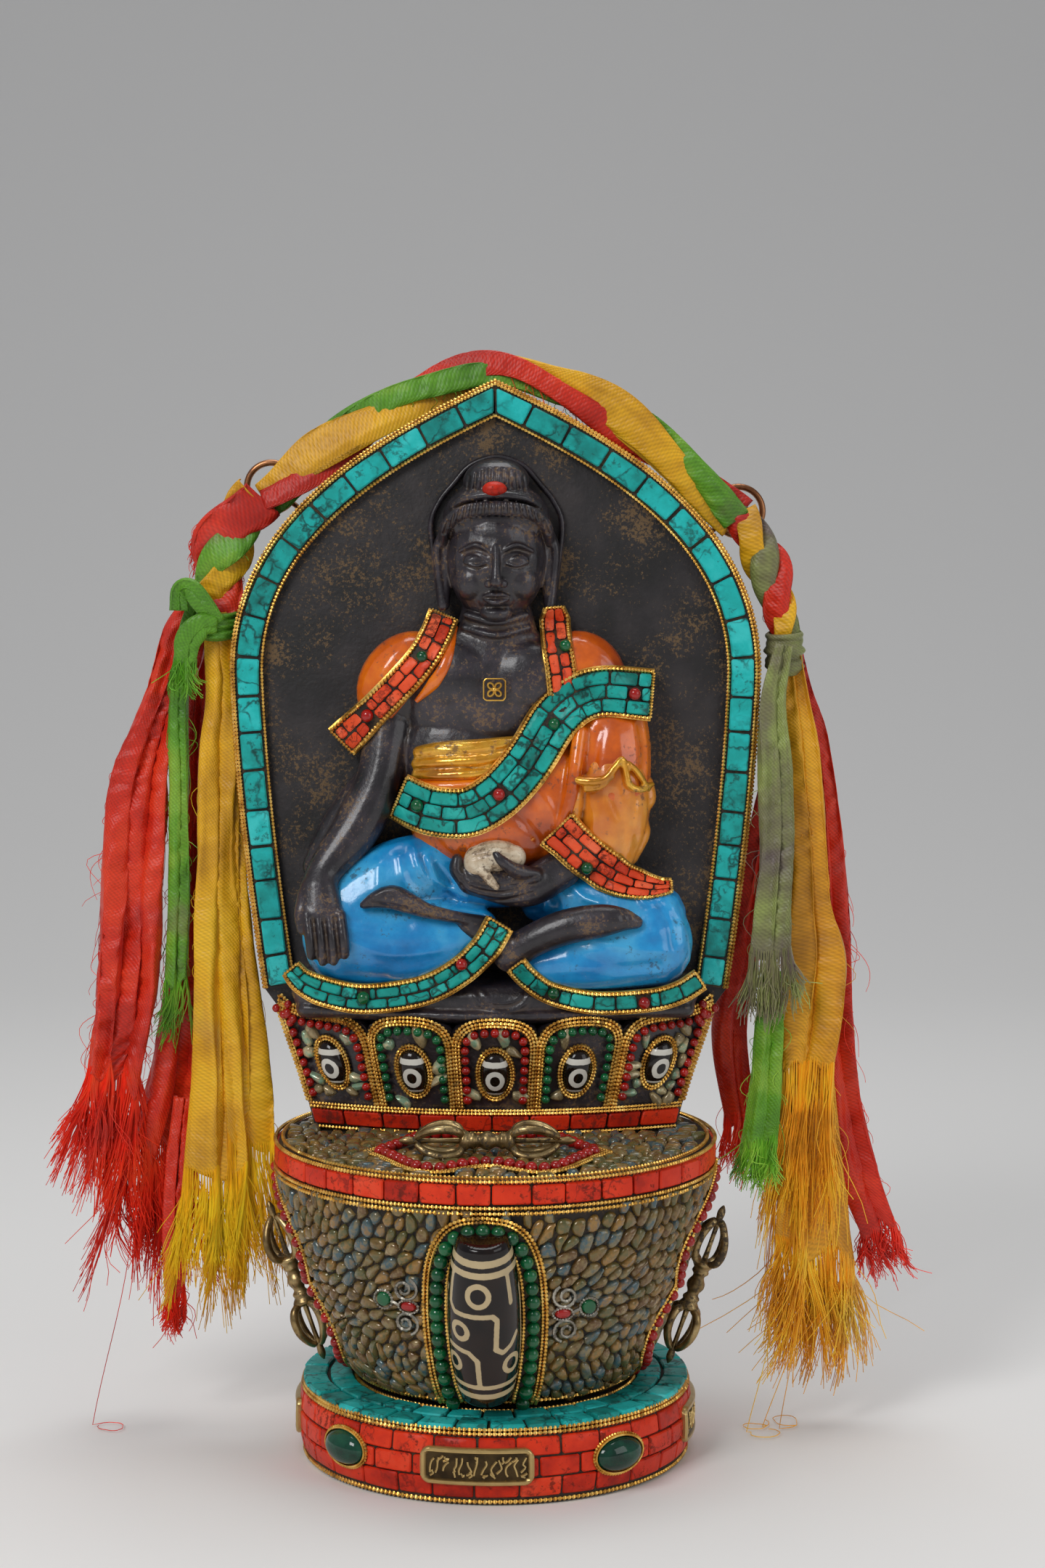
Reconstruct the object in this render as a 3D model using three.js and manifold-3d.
// Relief plaque of a seated Buddha, standing on a lidded round bowl with a round foot.
// Millimetres, +Z up, the viewer's side is -Y. The origin is the middle of the foot's underside.
import * as THREE from 'three';
import { mergeVertices } from 'three/addons/utils/BufferGeometryUtils.js';
import Module from 'manifold-3d';

const wasm = await Module();
wasm.setup();

// Driving dimensions.
const GAP = 0.3; // clear space between pieces that touch
const FOOT_HEIGHT = 27;
const FOOT_RADIUS = 69; // at the middle of its swelling side
const FOOT_SWELL = 2.2;
const FOOT_TURN = -4.7; // degrees that the foot stands turned about Z
const BOWL_TURN = -2.5; // degrees that the bowl stands turned about Z
const BOWL_WALL = 6;
const BOWL_RIM_Z = 101.4;
const LID_TOP_Z = 111;
const LID_RADIUS = 77;
const PLINTH_TOP_Z = 152;
const PLINTH_BACK_Y = 44;
const SLAB_FRONT_Y = 14;
const SLAB_BACK_Y = 32;
const ARCH_EDGE = 6.2; // from the middle of the tile border to the slab's edge
const SLAB_FOOT_HALF = 70; // half the slab's width where it runs into the plinth
const SLAB_LET_IN = 8; // how far the slab reaches down into the plinth
const BORDER_WIDTH = 10.4;
const BORDER_PROUD = 3.2;
const BAND_PROUD = 2; // how far a tile band stands in front of the carving
const BAND_SET_IN = 2; // how deep it is let in
const BAND_STEP = 10;
const PETALS = 5;
const ROUND = 28; // sides of the turned pieces

const rad = THREE.MathUtils.degToRad;
const lerp = THREE.MathUtils.lerp;
const vec = (x, y, z) => new THREE.Vector3(x, y, z);

// Finishes, one per kind of stuff.
const FINISH = {
  stone: { color: 0x2b2629, roughness: 0.45, metalness: 0.1 },
  turquoise: { color: 0x1f9a94, roughness: 0.35, metalness: 0 },
  coral: { color: 0xd8341c, roughness: 0.35, metalness: 0 },
  shell: { color: 0x7d6a3c, roughness: 0.35, metalness: 0.1 },
  brass: { color: 0xa88a4e, roughness: 0.35, metalness: 0.9 },
  copper: { color: 0x9a5a30, roughness: 0.35, metalness: 0.9 },
  bead: { color: 0x1c130d, roughness: 0.2, metalness: 0 },
  green_stone: { color: 0x0b3a24, roughness: 0.15, metalness: 0 },
  yellow_silk: { color: 0xe0a510, roughness: 0.6, metalness: 0 },
  red_silk: { color: 0xc02a18, roughness: 0.6, metalness: 0 },
  green_silk: { color: 0x6f9c2c, roughness: 0.6, metalness: 0 },
};

const part = new THREE.Group();

// Geometry helpers.

// A closed body from any geometry: shared vertices, no flat triangles, faces outwards.
function closed(geometry) {
  const bare = new THREE.BufferGeometry();
  bare.setAttribute('position', geometry.getAttribute('position').clone());
  bare.setIndex(geometry.index ? geometry.index.clone() : null);
  const merged = mergeVertices(bare, 1e-4);
  const old = merged.index.array;
  const p = merged.getAttribute('position');
  const index = [];
  let volume = 0;
  for (let i = 0; i < old.length; i += 3) {
    const [a, b, c] = [old[i], old[i + 1], old[i + 2]];
    if (a === b || b === c || c === a) continue;
    index.push(a, b, c);
    const [first, second, third] = [a, b, c].map((k) => vec(p.getX(k), p.getY(k), p.getZ(k)));
    volume += first.dot(second.cross(third));
  }
  if (volume < 0) index.reverse();
  merged.setIndex(index);
  return merged;
}

function toSolid(geometry) {
  const body = closed(geometry);
  const vertProperties = new Float32Array(body.getAttribute('position').array);
  const triVerts = new Uint32Array(body.index.array);
  return new wasm.Manifold(new wasm.Mesh({ numProp: 3, vertProperties, triVerts }));
}

function toGeometry(solid) {
  const { vertProperties, triVerts } = solid.getMesh();
  const geometry = new THREE.BufferGeometry();
  geometry.setAttribute('position', new THREE.BufferAttribute(new Float32Array(vertProperties), 3));
  geometry.setIndex(Array.from(triVerts));
  return geometry;
}

function join(solids) {
  return solids.reduce((whole, solid) => whole.add(solid));
}

function add(name, geometry, finish) {
  const ready = closed(geometry);
  ready.computeVertexNormals();
  const mesh = new THREE.Mesh(ready, new THREE.MeshStandardMaterial(FINISH[finish]));
  mesh.name = name;
  part.add(mesh);
}

// A turned body about Z from [radius, height] pairs that start and end on the axis or close on themselves.
function turned(profile, sides = ROUND) {
  const points = profile.map(([r, z]) => new THREE.Vector2(r, z));
  return new THREE.LatheGeometry(points, sides).rotateX(Math.PI / 2);
}

// A body through rings of points, one ring after another.
// Each end is closed by rungs between its ring's two halves.
function loft(rings) {
  const count = rings[0].length;
  const positions = rings.flat().flatMap((p) => [p.x, p.y, p.z]);
  const index = [];
  for (let i = 0; i + 1 < rings.length; i++) {
    for (let j = 0; j < count; j++) {
      const [a, b] = [i * count + j, i * count + ((j + 1) % count)];
      index.push(a, b, b + count, a, b + count, a + count);
    }
  }
  const last = (rings.length - 1) * count;
  for (let j = 0; j + 1 < count / 2; j++) {
    const [a, b, c, d] = [j, j + 1, count - 2 - j, count - 1 - j];
    index.push(a, d, b, b, d, c);
    index.push(last + a, last + b, last + d, last + b, last + c, last + d);
  }
  const geometry = new THREE.BufferGeometry();
  geometry.setAttribute('position', new THREE.Float32BufferAttribute(positions, 3));
  geometry.setIndex(index);
  return geometry;
}

// An egg-shaped body. turn is its tilt in the plaque's plane, in degrees.
function egg(centre, radii, turn = 0, sides = 9, levels = 5) {
  const body = new THREE.SphereGeometry(1, sides, levels);
  body.scale(...radii);
  body.rotateY(rad(-turn));
  return body.translate(...centre);
}

// A stone with a flat back at the origin, its face towards the viewer.
function dome(halfWidth, halfHeight, depth, sides = 8) {
  const levels = [[1, 0], [0.82, 0.62], [0.4, 0.95]];
  const rings = levels.map(([wide, deep]) => Array.from({ length: sides }, (_, j) => {
    const angle = (j / sides) * 2 * Math.PI;
    return vec(halfWidth * wide * Math.cos(angle), -depth * deep, halfHeight * wide * Math.sin(angle));
  }));
  return loft(rings);
}

const END_PUSH = 0.8; // how far a limb's rounded end reaches past its last stop, in half widths
const END_SHRINK = 0.6;

// A round-ended limb along a curve in the plaque's plane. Each stop is [x, y, z, half width, half depth].
function limb(stops, sides = 8, steps = 4) {
  const curve = new THREE.CatmullRomCurve3(stops.map(([x, y, z]) => vec(x, y, z)), false, 'centripetal');
  const size = (t, k) => {
    const s = t * (stops.length - 1);
    const i = Math.min(Math.floor(s), stops.length - 2);
    return lerp(stops[i][k], stops[i + 1][k], s - i);
  };
  const middle = Array.from({ length: steps + 1 }, (_, i) => [i / steps, 0, 1]);
  const stations = [[0, -END_PUSH, END_SHRINK], ...middle, [1, END_PUSH, END_SHRINK]];
  const rings = stations.map(([t, push, shrink]) => {
    const centre = curve.getPoint(t);
    const tangent = curve.getTangent(t).normalize();
    const across = vec(tangent.z, 0, -tangent.x).normalize();
    const depth = tangent.clone().cross(across).normalize();
    const [half, thick] = [size(t, 3), size(t, 4)];
    centre.addScaledVector(tangent, push * Math.min(half, thick));
    return Array.from({ length: sides }, (_, j) => {
      const angle = (j / sides) * 2 * Math.PI;
      const p = centre.clone().addScaledVector(across, half * shrink * Math.cos(angle));
      return p.addScaledVector(depth, thick * shrink * Math.sin(angle));
    });
  });
  return loft(rings);
}

// Moves a body that is modelled at the front of the stand to its place round the axis.
function around(geometry, degrees) {
  return geometry.rotateZ(rad(degrees));
}

// The round foot with its plates and cabochons.

const PLATE = { width: 38, height: 12.7, z: 13.6, thick: 1.6, end_height: 0.7 };
const CABOCHON = { half_width: 9.2, half_height: 5.8, depth: 4.6, z: 13.8, spread: 42 }; // spread in degrees

// The foot's side swells a little, most at half its height.
function footRadius(z) {
  const half = FOOT_HEIGHT / 2;
  return FOOT_RADIUS - FOOT_SWELL * ((z - half) / half) ** 2;
}

function makeFoot() {
  const levels = [0, 0.25, 0.5, 0.75, 1].map((t) => t * FOOT_HEIGHT);
  const side = levels.map((z) => [footRadius(z), z]);
  add('base_foot', turned([[0, 0], ...side, [0, FOOT_HEIGHT]]), 'coral');
  const plates = { front: 0, right: 90, back: 180, left: -90 };
  for (const [name, angle] of Object.entries(plates)) {
    add(`nameplate_${name}`, around(plate(), angle + FOOT_TURN), 'brass');
  }
  const { half_width, half_height, depth, z, spread } = CABOCHON;
  [-spread, spread, 180 - spread, spread - 180].forEach((angle, i) => {
    const stone = dome(half_width, half_height, depth).translate(0, -FOOT_RADIUS - GAP, z);
    add(`foot_cabochon_${i + 1}`, around(stone, angle + FOOT_TURN), 'green_stone');
  });
}

// A brass plate bent to the foot's side, with cut corners.
function plate() {
  const { width, height, z, thick, end_height } = PLATE;
  const steps = 8;
  const rings = Array.from({ length: steps + 1 }, (_, i) => {
    const t = (2 * i) / steps - 1;
    const angle = (t * width) / 2 / FOOT_RADIUS;
    const half = (height / 2) * (Math.abs(t) === 1 ? end_height : 1);
    const at = (r, dz) => vec(r * Math.sin(angle), -r * Math.cos(angle), z + dz);
    const [inner, outer] = [FOOT_RADIUS + GAP, FOOT_RADIUS + GAP + thick];
    return [at(inner, -half), at(outer, -half), at(outer, half), at(inner, half)];
  });
  return loft(rings);
}

// The bowl, hollow under its lid, and the ornaments on its side.

const BOWL_OUTSIDE = [
  [42, FOOT_HEIGHT + GAP],
  [48.5, 29.8],
  [56.5, 40],
  [66.5, 66],
  [73, 86],
  [76.4, BOWL_RIM_Z],
];

function bowlRadius(z) {
  const i = Math.max(1, BOWL_OUTSIDE.findIndex(([, level]) => level >= z));
  const [[r0, z0], [r1, z1]] = [BOWL_OUTSIDE[i - 1], BOWL_OUTSIDE[i]];
  return lerp(r0, r1, (z - z0) / (z1 - z0));
}

const BOWL_FLOOR = [[44, 34.5], [0, 34]];
const ORNAMENT_GAP = 1; // between a side ornament's foremost wire and the bowl's wall

function makeBowl() {
  const inside = BOWL_OUTSIDE.slice(2).map(([r, z]) => [r - BOWL_WALL, z]);
  const profile = [[0, BOWL_OUTSIDE[0][1]], ...BOWL_OUTSIDE, ...inside.reverse(), ...BOWL_FLOOR];
  add('bowl_body', turned(profile), 'shell');
  const swollen = BOWL_OUTSIDE.map(([r, z]) => [r + GAP, z]);
  const wall = toSolid(turned([[0, 20], [swollen[0][0], 20], ...swollen, [0, BOWL_RIM_Z]]));
  add('dzi_bead', around(toGeometry(toSolid(barrelBead()).subtract(wall)), BOWL_TURN), 'bead');
  for (const [name, angle] of [['right', 90], ['left', -90]]) {
    const lean = vajra();
    lean.rotateY(Math.PI / 2);
    lean.rotateX(rad(SIDE_LEAN));
    const reach = bowlRadius(SIDE_VAJRA_Z) + VAJRA.prong + VAJRA.wire + ORNAMENT_GAP;
    lean.translate(0, -reach, SIDE_VAJRA_Z);
    add(`side_vajra_${name}`, around(lean, angle + BOWL_TURN), 'brass');
  }
}

// out is how far the bead's middle line stands in front of the wall.
const BEAD = { length: 59, radius: 11.6, end_radius: 8.2, taper: 2.6, z: 62.5, lean: 20, out: 1.4 };

// The barrel bead, lying along the wall of the bowl's front.
function barrelBead() {
  const { length, radius, end_radius, taper, z, lean, out } = BEAD;
  const steps = 6;
  const side = Array.from({ length: steps + 1 }, (_, i) => {
    const t = (2 * i) / steps - 1;
    return [radius - (radius - end_radius) * Math.abs(t) ** taper, (t * length) / 2];
  });
  const bead = turned([[0, -length / 2], ...side, [0, length / 2]], 12);
  bead.rotateX(rad(lean));
  return bead.translate(0, -bowlRadius(z) - out, z);
}

// cage is half the length of a cage of prongs, prong half its width, tip the length of its point.
const VAJRA = { length: 60, cage: 8.4, prong: 4.6, wire: 0.95, tip: 7, tip_radius: 2 };
const VAJRA_HUB = [[0, -8.4], [3.8, -7.6], [2, -3.6], [3.3, 0]];
const SIDE_VAJRA_Z = 58;
const SIDE_LEAN = 19;

// A cast ornament along X: a waisted hub between two cages of bent prongs, each with a tip.
function vajra() {
  const { length, cage, prong, wire, tip, tip_radius } = VAJRA;
  const mirrored = VAJRA_HUB.slice(0, -1).reverse().map(([r, z]) => [r, -z]);
  const pieces = [toSolid(turned([...VAJRA_HUB, ...mirrored], 6).rotateY(Math.PI / 2))];
  for (const side of [-1, 1]) {
    const middle = side * (length / 2 - cage - tip + wire);
    for (const tilt of [0, Math.PI / 2]) {
      const hoop = new THREE.TorusGeometry(1, wire / (prong + wire), 3, 6);
      hoop.scale(cage, prong, prong + wire / 2);
      hoop.rotateX(tilt);
      pieces.push(toSolid(hoop.translate(middle, 0, 0)));
    }
    const point = turned([[0, 0], [tip_radius, 0.4], [0, tip]], 5).rotateY((side * Math.PI) / 2);
    pieces.push(toSolid(point.translate(side * (length / 2 - tip), 0, 0)));
  }
  return toGeometry(join(pieces));
}

// The lid: a flat disc that overhangs the bowl's rim a little, with a ring below that keeps it centred.
const LID_KEEP_RADIUS = 69.4;
const LID_KEEP_DEPTH = 3.6;
const LID_EDGE = 0.8; // the cut edge round the top
const LID_VAJRA_X = -2.3;
const LID_VAJRA_Y = -40;

function makeLid() {
  const under = BOWL_RIM_Z + GAP;
  const low = under - LID_KEEP_DEPTH;
  const keep = [[0, low], [LID_KEEP_RADIUS, low], [LID_KEEP_RADIUS, under]];
  const side = [[LID_RADIUS, under], [LID_RADIUS, LID_TOP_Z - LID_EDGE], [LID_RADIUS - LID_EDGE, LID_TOP_Z]];
  add('bowl_lid', turned([...keep, ...side, [0, LID_TOP_Z]]), 'coral');
  const height = LID_TOP_Z + GAP + VAJRA.prong + VAJRA.wire;
  add('lid_vajra', vajra().translate(LID_VAJRA_X, LID_VAJRA_Y, height), 'brass');
}

// The arch: a pointed outline, given by the middle line of its tile border.

const flat = (x, z) => new THREE.Vector2(x, z);
const APEX_Z = 366;
const ARCH = [
  new THREE.QuadraticBezierCurve(flat(-75.5, 161), flat(-85, 225), flat(-86.3, 272)),
  new THREE.CubicBezierCurve(flat(-86.3, 272), flat(-86, 322), flat(-38, 348), flat(0, APEX_Z)),
];

const ARCH_STEPS = [4, 7];

// Points of the whole arch, moved outwards by offset, from the left foot over the apex to the right foot.
function archLine(offset) {
  const left = [];
  ARCH.forEach((curve, which) => {
    const steps = ARCH_STEPS[which];
    for (let i = which; i <= steps; i++) {
      const at = curve.getPoint(i / steps);
      const way = curve.getTangent(i / steps);
      left.push(flat(at.x - way.y * offset, at.y + way.x * offset));
    }
  });
  left.pop();
  const apex = flat(0, APEX_Z + offset / ARCH[1].getTangent(1).x);
  const right = left.map((p) => flat(-p.x, p.y)).reverse();
  return [...left, apex, ...right];
}

// A flat outline in the plaque's plane, pushed from the front Y to the back Y.
function pushed(outline, front, back) {
  const options = { depth: back - front, bevelEnabled: false };
  const geometry = new THREE.ExtrudeGeometry(new THREE.Shape(outline), options);
  geometry.rotateX(Math.PI / 2);
  return geometry.translate(0, back, 0);
}

function slab() {
  const foot_z = PLINTH_TOP_Z - SLAB_LET_IN;
  const foot = [flat(SLAB_FOOT_HALF, foot_z), flat(-SLAB_FOOT_HALF, foot_z)];
  return pushed([...archLine(ARCH_EDGE), ...foot], SLAB_FRONT_Y, SLAB_BACK_Y);
}

// The tile border as one strip. swell widens it on every side, for what has to stay clear of it.
function border(swell) {
  const outer = archLine(BORDER_WIDTH / 2 + swell);
  const inner = archLine(-BORDER_WIDTH / 2 - swell).reverse();
  for (const end of [outer[0], outer[outer.length - 1], inner[0], inner[inner.length - 1]]) {
    end.y -= swell;
  }
  const front = SLAB_FRONT_Y - GAP - BORDER_PROUD - swell;
  return pushed([...outer, ...inner], front, SLAB_FRONT_Y - GAP + swell);
}

// The lotus plinth: a bowed block that widens upwards, its front divided into petals.

const PLINTH = {
  bottom: { z: LID_TOP_Z + GAP, half: 64, front: -2, end: 12 },
  band_top: { z: 119, half: 66, front: -3, end: 12 },
  top: { z: PLINTH_TOP_Z, half: 76, front: -12, end: 13 },
};
const PETAL_STEPS = 3;
const PETAL_COLUMNS = PETALS * PETAL_STEPS;
const PETAL_SWELL = 2.4; // how far a petal's middle stands in front of its sides
const PETAL_DOME = 5; // how far the edge between two petals dips, and how far the corners rise
const PETAL_ROUND = 0.6;
const PETAL_START = 1.5; // from the top of the tile band to the petals
const END_THICK = 8; // the plinth's thickness at its two ends
const SQUARE = 6; // how squarely the back turns into the ends

// A place on the plinth's bowed front at u, from -1 at the left end to 1 at the right.
function bowed({ half, front, end }, u) {
  return [u * half, lerp(front, end, u * u)];
}

// One level of the plinth: the front from left to right, then back again behind.
function plinthRing(level, swell, dip) {
  const row = Array.from({ length: PETAL_COLUMNS + 1 }, (_, i) => {
    const u = (2 * i) / PETAL_COLUMNS - 1;
    const bump = Math.sin((Math.PI * (i % PETAL_STEPS)) / PETAL_STEPS) ** PETAL_ROUND;
    const [x, y] = bowed(level, u);
    const edge = i % PETAL_COLUMNS === 0 ? 0 : 1 - bump;
    return vec(x, y + swell * (1 - bump), level.z + dip * (u ** SQUARE - edge));
  });
  const back = row.map(({ x }) => {
    const bend = Math.abs(x / level.half) ** SQUARE;
    return vec(x, lerp(PLINTH_BACK_Y, level.end + END_THICK, bend), level.z);
  });
  return [...row, ...back.reverse()];
}

function plinth() {
  const { bottom, band_top, top } = PLINTH;
  return loft([
    plinthRing(bottom, 0, 0),
    plinthRing(band_top, 0, 0),
    plinthRing({ ...band_top, z: band_top.z + PETAL_START }, PETAL_SWELL, 0),
    plinthRing(top, PETAL_SWELL, PETAL_DOME),
  ]);
}

const CORAL_BAND_PROUD = 1.8;

// The row of coral tiles along the plinth's foot.
function makePlinthBand() {
  const { bottom, band_top } = PLINTH;
  const rings = Array.from({ length: PETAL_COLUMNS + 1 }, (_, i) => {
    const corner = (level, out) => {
      const [x, y] = bowed(level, (2 * i) / PETAL_COLUMNS - 1);
      return vec(x, y - out, level.z);
    };
    return [
      corner(bottom, GAP),
      corner(bottom, GAP + CORAL_BAND_PROUD),
      corner(band_top, GAP + CORAL_BAND_PROUD),
      corner(band_top, GAP),
    ];
  });
  add('plinth_coral_band', loft(rings), 'coral');
}

// The seated figure, as overlapping forms that are joined to one body with the slab and the plinth.

function headForms() {
  return [
    egg([0.5, 10, 320], [23, 5, 27], 0, 12, 5), // raised outline behind the head
    egg([0.5, 5.5, 311], [17.2, 14, 21.5], 0, 12, 8),
    egg([0.5, 7, 325], [18.8, 13.6, 14.5], 0, 12, 6), // hair
    egg([0.5, 7, 338], [11, 9, 7.5], 0, 8, 5), // crown
    egg([0.5, -8, 308.5], [2.4, 3.4, 6.2], 0, 4, 4), // nose
    egg([-18.4, 7, 308], [2.6, 4.5, 14.5], 2, 6, 4), // ears
    egg([19.6, 7, 308], [2.6, 4.5, 14.5], -2, 6, 4),
    limb([[0.5, 8, 297, 11.5, 9], [0.5, 8, 283, 14, 9]], 8, 1),
  ];
}

function bodyForms() {
  return [
    egg([-3, 9, 264], [31, 13.5, 27], 0, 12, 7), // chest
    egg([-9, 8, 240], [26, 13, 22]),
    egg([-33.5, 10, 268], [15.5, 10.5, 18.5], 38), // the viewer's left shoulder
    egg([33, 10, 269], [17, 10.5, 17.5], -30),
    egg([-1, 6, 222], [31, 14.5, 19]), // belly under the sash
    limb([[-37, 9, 254, 9, 8], [-39.5, 6, 236, 9.5, 9], [-48, 3, 219, 8.6, 8.5], [-60, -1, 203, 7, 6.5]]),
    limb([[-61, -3, 199, 7.4, 6], [-60, -7, 186, 9, 5], [-57, -8, 175, 6.5, 3.6]], 8, 3), // hand on the knee
    limb([[38, 9, 262, 14, 9], [40, 5, 238, 15.5, 13], [39, 4, 214, 13, 11]], 10, 3), // sleeve
    limb([[24, -3, 205, 7, 6], [10, -8, 198.5, 7, 6.5], [-8, -9, 202, 5.5, 6]], 8, 3), // hand with the bowl
    egg([0.5, -9, 208], [10.2, 7.5, 6.8], -12, 8, 5),
  ];
}

function legForms() {
  return [
    limb([[-12, 7, 205, 13, 9], [-34, 3, 200, 17, 13], [-52, 1, 187, 17, 14]], 10, 3),
    limb([[-51, 0, 184, 16.5, 15], [-26, -3, 182, 15.5, 12], [-4, -5, 184, 9, 8]], 10, 3),
    limb([[18, 7, 196, 12, 9], [38, 3, 193, 14, 12], [54, 1, 184, 15.5, 13]], 10, 3),
    limb([[54, 0, 181, 14.5, 14], [30, -3, 175, 11.5, 11], [12, -4, 172, 7, 8]], 10, 3),
    limb([[-45, -12, 197.5, 3.6, 4], [-33, -13, 195, 4.8, 5], [-10, -11, 188, 3.2, 3.6]], 6, 2), // soles
    limb([[7, -10, 179, 6.4, 6.4], [24, -13, 185.5, 6.6, 6], [45, -13, 189.5, 4.6, 4.6]], 8, 2),
    limb([[-64, 8, 163, 9, 9], [0, 4, 160, 12, 14], [64, 8, 163, 9, 9]], 8, 4), // stone seat under the legs
  ];
}

// Tile bands, each by its middle line [x, z] and width. lead is the least forward reach, for the hems, and
// ends the share of the width at either end.
const BANDS = {
  lapel_left: { finish: 'coral', width: 9.6, line: [[-18.3, 291], [-24, 278.4], [-32, 266.6], [-53, 246.8]] },
  lapel_right: { finish: 'coral', width: 8.6, line: [[19.6, 293.5], [20.6, 283], [23.6, 266]] },
  cuff_coral: {
    finish: 'coral',
    width: 12.6,
    ends: [1.22, 0.5],
    line: [[22, 218.6], [31.8, 209.2], [43.6, 202.1], [60, 199]],
  },
  sash_turquoise: {
    finish: 'turquoise',
    width: 15,
    line: [
      [-33, 229.5], [-20, 225], [-6, 225.5], [4.5, 232.3],
      [13, 244.5], [20.5, 257], [34, 264.5], [54, 263.6],
    ],
  },
  hem_left: {
    finish: 'turquoise',
    width: 9.2,
    lead: -9,
    line: [[-69, 171.6], [-58, 163.8], [-44, 161.4], [-25, 164], [-9, 173.2], [2, 186.4]],
  },
  hem_right: {
    finish: 'turquoise',
    width: 6.6,
    lead: -8,
    line: [[8, 171.5], [18, 164], [35, 159.6], [54, 160.4], [70.5, 166.2]],
  },
};

// How far forward (least Y) a body reaches at a place in the plaque's plane.
function frontOf(geometry) {
  const p = geometry.getAttribute('position');
  const triangles = [];
  for (let i = 0; i < geometry.index.count; i += 3) {
    const corners = [0, 1, 2].map((k) => geometry.index.getX(i + k));
    triangles.push(corners.map((k) => vec(p.getX(k), p.getY(k), p.getZ(k))));
  }
  return (x, z) => {
    let least = SLAB_FRONT_Y;
    for (const [a, b, c] of triangles) {
      const area = (b.x - a.x) * (c.z - a.z) - (c.x - a.x) * (b.z - a.z);
      if (Math.abs(area) < 1e-9) continue;
      const v = ((x - a.x) * (c.z - a.z) - (c.x - a.x) * (z - a.z)) / area;
      const w = ((b.x - a.x) * (z - a.z) - (x - a.x) * (b.z - a.z)) / area;
      if (v < 0 || w < 0 || v + w > 1) continue;
      least = Math.min(least, a.y + v * (b.y - a.y) + w * (c.y - a.y));
    }
    return least;
  };
}

// The places across a band, station by station, each with how far forward the carving is there.
function bandStations({ line, width, ends = [1, 1], lead = SLAB_FRONT_Y }, front) {
  const curve = new THREE.SplineCurve(line.map(([x, z]) => flat(x, z)));
  const steps = Math.round(curve.getLength() / BAND_STEP);
  const least = Math.min(lead, SLAB_FRONT_Y - BAND_SET_IN - BAND_PROUD);
  const rows = Array.from({ length: steps + 1 }, (_, i) => {
    const at = curve.getPointAt(i / steps);
    const way = curve.getTangentAt(i / steps);
    return [-1, 0, 1].map((side) => {
      const off = ((side * width) / 2) * THREE.MathUtils.lerp(ends[0], ends[1], i / steps);
      const [x, z] = [at.x - way.y * off, at.y + way.x * off];
      return vec(x, Math.min(front(x, z), least), z);
    });
  });
  return rows.map((row, i) => row.map((p, k) => {
    const near = rows.slice(Math.max(0, i - 1), i + 2).map((r) => r[k].y);
    return vec(p.x, near.reduce((sum, y) => sum + y, 0) / near.length, p.z);
  }));
}

// A band's body from its stations. swell widens it on every side, for the channel that takes it.
// Where the carving is steep its face needs more room than its sides do.
const FACE_SWELL = 3;

function bandBody(stations, swell, back) {
  const last = stations.length - 1;
  const rings = stations.map((row, i) => {
    const next = stations[Math.min(i + 1, last)][1];
    const before = stations[Math.max(i - 1, 0)][1];
    const along = next.clone().sub(before).setY(0).normalize();
    const push = i === 0 ? -swell : i === last ? swell : 0;
    const out = row[2].clone().sub(row[0]).setY(0).normalize();
    const place = (p, side, y) => {
      const moved = p.clone().addScaledVector(along, push).addScaledVector(out, side * swell);
      return moved.setY(y);
    };
    const faces = row.map((p, k) => place(p, k - 1, p.y - BAND_PROUD - FACE_SWELL * swell));
    const backs = row.map((p, k) => place(p, k - 1, back ?? p.y + BAND_SET_IN + FACE_SWELL * swell));
    return [...faces, ...backs.reverse()];
  });
  return loft(rings);
}

const JEWEL = { at: [0, -6.4, 334.4], radii: [4.3, 3.4, 2.6] };
const PETAL_DZI = { half_width: 5.2, half_height: 7.8, depth: 3.4, z: 133.4, rise: 3 };
const HEM_FOLD = { behind: 4, wider: 0.4, back_y: 16 }; // the cloth edge that carries a hem's tiles

// A stone on the petal at u, from -1 at the left end to 1 at the right, set flat against the leaning face.
function petalStone(u) {
  const { half_width, half_height, depth, z, rise } = PETAL_DZI;
  const { band_top, top } = PLINTH;
  const t = (z - band_top.z) / (top.z - band_top.z);
  const [half, front, end] = ['half', 'front', 'end'].map((key) => lerp(band_top[key], top[key], t));
  const [x, y] = bowed({ half, front, end }, u);
  const stone = dome(half_width, half_height, depth);
  stone.rotateX(Math.atan2(band_top.front - top.front, top.z - band_top.z));
  stone.rotateZ(Math.atan2(2 * u * (end - front), half));
  return stone.translate(x, y - 2 * GAP - u * u, z + rise * u * u);
}

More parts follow.
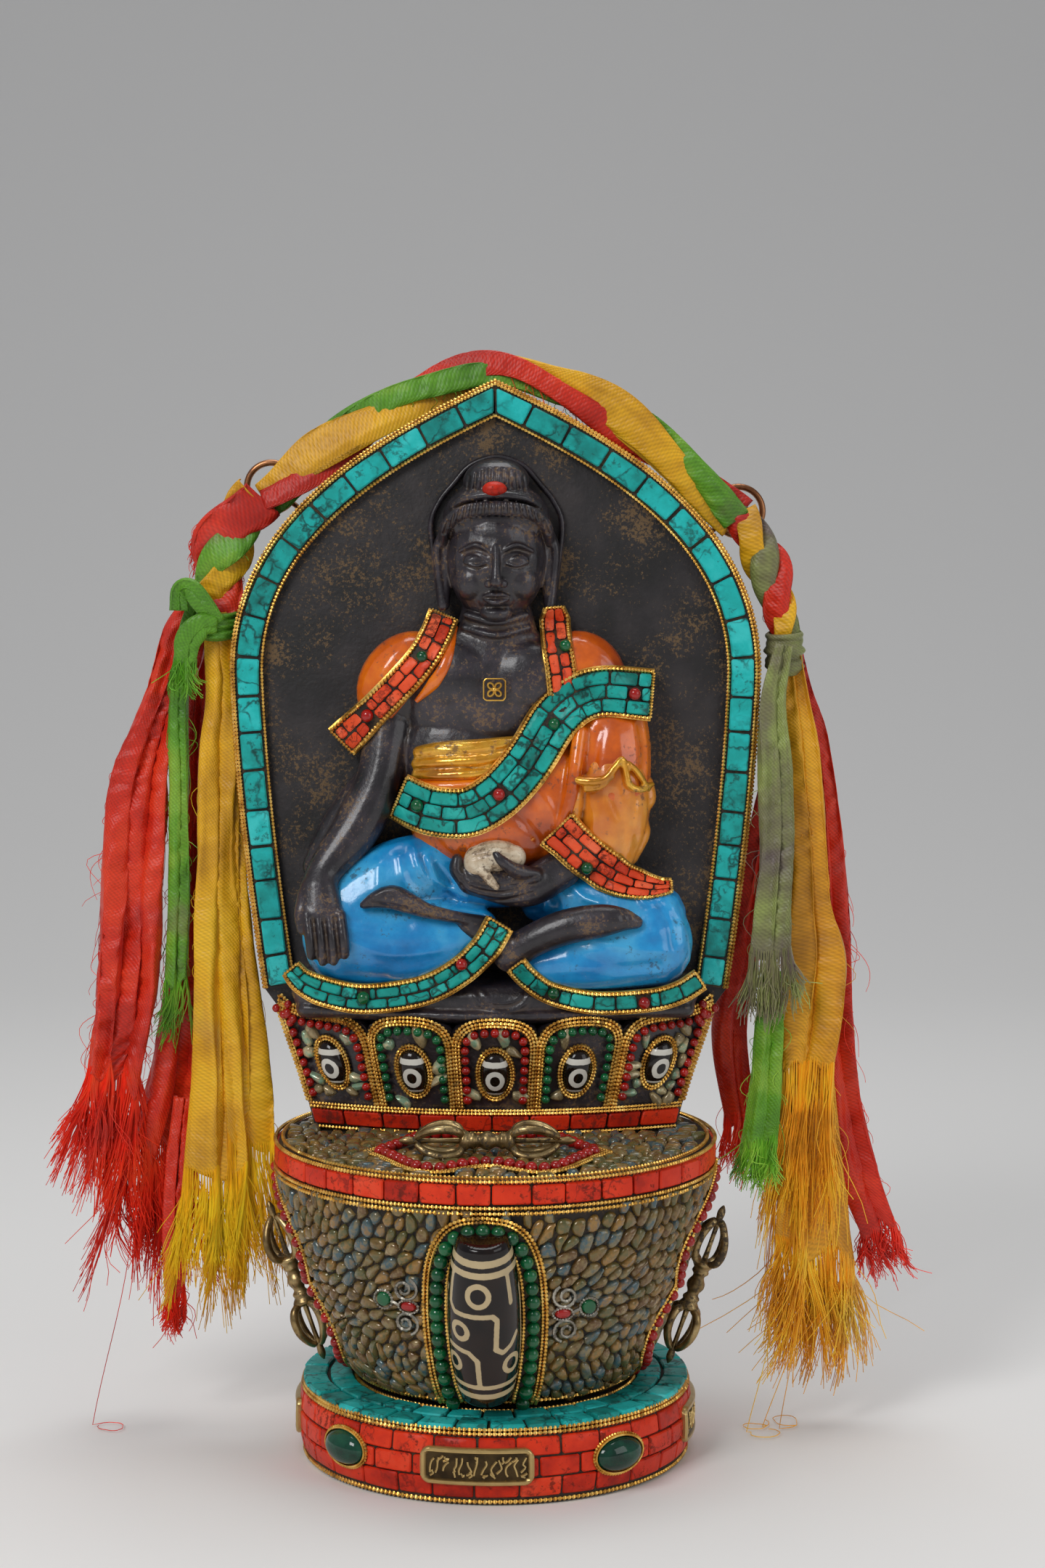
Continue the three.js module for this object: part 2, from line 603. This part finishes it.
function makePlaque() {
  const forms = [slab(), plinth(), ...headForms(), ...bodyForms(), ...legForms()];
  let carved = join(forms.map(toSolid));
  const front = frontOf(toGeometry(carved));
  const bands = Object.entries(BANDS).map(([name, band]) => {
    return { name, ...band, stations: bandStations(band, front) };
  });
  for (const { stations, lead } of bands) {
    if (lead !== undefined) carved = carved.add(toSolid(hemFold(stations)));
  }
  const channels = bands.map(({ stations }) => toSolid(bandBody(stations, GAP)));
  const border_room = toSolid(border(GAP));
  const jewel_room = toSolid(egg(JEWEL.at, JEWEL.radii.map((r) => r + GAP), 0, 8, 5));
  carved = without(carved, [...channels, border_room, jewel_room]);
  add('relief_plaque', toGeometry(largest(carved)), 'stone');
  bands.forEach(({ name, finish, stations }, i) => {
    const body = without(toSolid(bandBody(stations, 0)), [...channels.slice(i + 1), border_room]);
    add(name, toGeometry(largest(body)), finish);
  });
  add('head_jewel', egg(JEWEL.at, JEWEL.radii, 0, 8, 5), 'coral');
  for (let i = 0; i < PETALS; i++) {
    add(`petal_dzi_${i + 1}`, petalStone((2 * i + 1) / PETALS - 1), 'bead');
  }
}

// The thin edge of cloth under a hem's tiles, back to the slab.
function hemFold(stations) {
  const { behind, wider, back_y } = HEM_FOLD;
  const moved = stations.map((row) => row.map((p) => vec(p.x, p.y + behind, p.z)));
  return bandBody(moved, wider, back_y);
}

function without(solid, others) {
  return others.reduce((rest, other) => rest.subtract(other), solid);
}

// The biggest of a solid's separate bodies, which drops chips left by a cut.
function largest(solid) {
  return solid.decompose().sort((a, b) => b.volume() - a.volume())[0];
}

// The copper rings behind the arch, each in an eye on the slab's back.

const RING = { radius: 8.6, wire: 1.15, y: 35 };
const RINGS = { left: [-79.5, 336], right: [86, 327.5] };
const EYE = { radius: 3, wire: 0.8, reach: 16, inward: 0.8, down: 0.6, foot: 2.4 };

function makeRings() {
  for (const [side, [x, z]] of Object.entries(RINGS)) {
    const middle = vec(x, RING.y, z);
    const ring = new THREE.TorusGeometry(RING.radius, RING.wire, 4, 14).rotateX(Math.PI / 2);
    add(`copper_ring_${side}`, ring.translate(...middle), 'copper');
    const inward = vec(-Math.sign(x) * EYE.inward, 0, -EYE.down);
    const along = vec(-inward.z, 0, inward.x);
    const slack = EYE.radius - RING.wire - EYE.wire - GAP;
    const grip = middle.clone().addScaledVector(inward, RING.radius + slack);
    const eye = new THREE.TorusGeometry(EYE.radius, EYE.wire, 4, 6);
    eye.applyQuaternion(new THREE.Quaternion().setFromUnitVectors(vec(0, 0, 1), along));
    eye.translate(...grip);
    const start = grip.clone().addScaledVector(inward, EYE.radius);
    const end = grip.clone().addScaledVector(inward, EYE.reach).setY(SLAB_BACK_Y + GAP + 1);
    const shank = limb([[...start, 1, 1], [...end, EYE.foot, 1]], 4, 2);
    add(`ring_eye_${side}`, toGeometry(toSolid(eye).add(toSolid(shank))), 'copper');
  }
}

// The silk. Each strip is a plain flattened body; stops are [x, y, z, half width, half depth].

const SILK = {
  silk_left_knot: {
    finish: 'red_silk',
    stops: [
      [-86, 23, 327.5, 5, 5], [-94, 23, 321, 8, 7], [-98, 23, 308, 9, 7], [-98.5, 23, 297, 7, 6],
    ],
  },
  silk_left_yellow: {
    finish: 'yellow_silk',
    stops: [
      [-98, 22, 288, 5, 4], [-98.5, 20, 250, 6, 4.5], [-98, 20, 205, 7, 5], [-95, 20, 165, 10, 6],
      [-96, 20, 118, 13, 7], [-100, 20, 80, 16, 7], [-105, 20, 38, 17, 6],
    ],
  },
  silk_left_red: {
    finish: 'red_silk',
    stops: [
      [-109, 29, 287, 4, 4], [-119, 28, 270, 7, 5], [-129, 26, 245, 9, 6], [-131, 25, 205, 13, 6],
      [-135, 25, 160, 13, 6], [-139, 25, 110, 13, 6], [-145, 25, 76, 12, 5],
    ],
  },
  silk_left_red_inner: {
    finish: 'red_silk',
    stops: [
      [-103, 36, 288, 4, 3], [-111, 39, 262, 5, 4], [-114, 39, 205, 6, 5], [-118, 38, 150, 10, 6],
      [-124, 37, 100, 14, 6], [-128, 37, 66, 16, 6], [-131, 36, 30, 15, 5],
    ],
  },
  silk_left_green: {
    finish: 'green_silk',
    stops: [
      [-108, 15, 290, 2.4, 2.4], [-109.4, 18.5, 262, 2.6, 2.4], [-111.6, 23, 225, 3, 3], [-111.8, 24, 190, 3.2, 3],
      [-113.5, 25, 152, 3.4, 3],
    ],
  },
  silk_right_braid: {
    finish: 'red_silk',
    stops: [
      [87, 23, 325, 5, 5], [93, 23, 314, 6.5, 6], [98, 23, 300, 6.5, 6], [101.5, 22, 284, 5.5, 5.5],
    ],
  },
  silk_right_yellow: {
    finish: 'yellow_silk',
    stops: [
      [104, 21, 273, 4, 4], [110, 20, 236, 6, 5], [112, 20, 200, 8, 6], [112, 20, 165, 12, 6],
      [112, 20, 130, 9.5, 6], [113, 20, 90, 12, 6], [114, 20, 56, 15, 6], [112, 20, 34, 20, 5],
    ],
  },
  silk_right_green: {
    finish: 'green_silk',
    stops: [
      [98.5, 12, 275, 3.4, 2.8], [100, 9.5, 235, 5, 3.6], [100, 9.5, 195, 5.6, 3.6], [98, 9.5, 160, 4.6, 3.4],
      [93, 10, 130, 6.5, 4], [92, 10, 96, 7, 4],
    ],
  },
  silk_right_red: {
    finish: 'red_silk',
    stops: [
      [105, 31, 276, 3.4, 3], [113, 33, 250, 4, 4], [118, 33, 215, 6, 5], [123, 33, 165, 7, 5],
      [126, 33, 115, 7, 5], [132, 33, 80, 7, 5], [142, 32, 60, 6, 4],
    ],
  },
  silk_right_red_inner: {
    finish: 'red_silk',
    stops: [
      [100, 33, 268, 2.6, 2.6], [98, 39, 220, 4, 4], [91, 41, 175, 6, 5], [84, 41, 135, 6, 5],
      [90, 40, 98, 5, 4],
    ],
  },
};

// The braid over the arch: half its thickness at the sides and at the apex, and half its depth.
const GARLAND = { thick: 7.4, at_apex: 4.4, depth: 8, y: 23, from_z: 318, clear: 1.2 };

function makeSilk() {
  const { thick, at_apex, depth, y, from_z, clear } = GARLAND;
  const outline = archLine(ARCH_EDGE).filter((p) => p.y > from_z);
  const stops = outline.map((p) => {
    const half = lerp(at_apex, thick, Math.min(1, Math.abs(p.x) / 34));
    const slope = Math.min(1, Math.abs(p.x) / 20);
    const out = flat(Math.sign(p.x) * 0.66 * slope, 0.94 - 0.19 * slope).normalize();
    return [p.x + out.x * (half + clear), y, p.y + out.y * (half + clear), half, depth];
  });
  add('silk_garland', limb(stops, 6, 18), 'yellow_silk');
  for (const [name, { finish, stops: path }] of Object.entries(SILK)) {
    add(name, limb(path, 6, path.length + 1), finish);
  }
}

makeFoot();
makeBowl();
makeLid();
add('turquoise_border', border(0), 'turquoise');
makePlinthBand();
makePlaque();
makeRings();
makeSilk();

export default part;
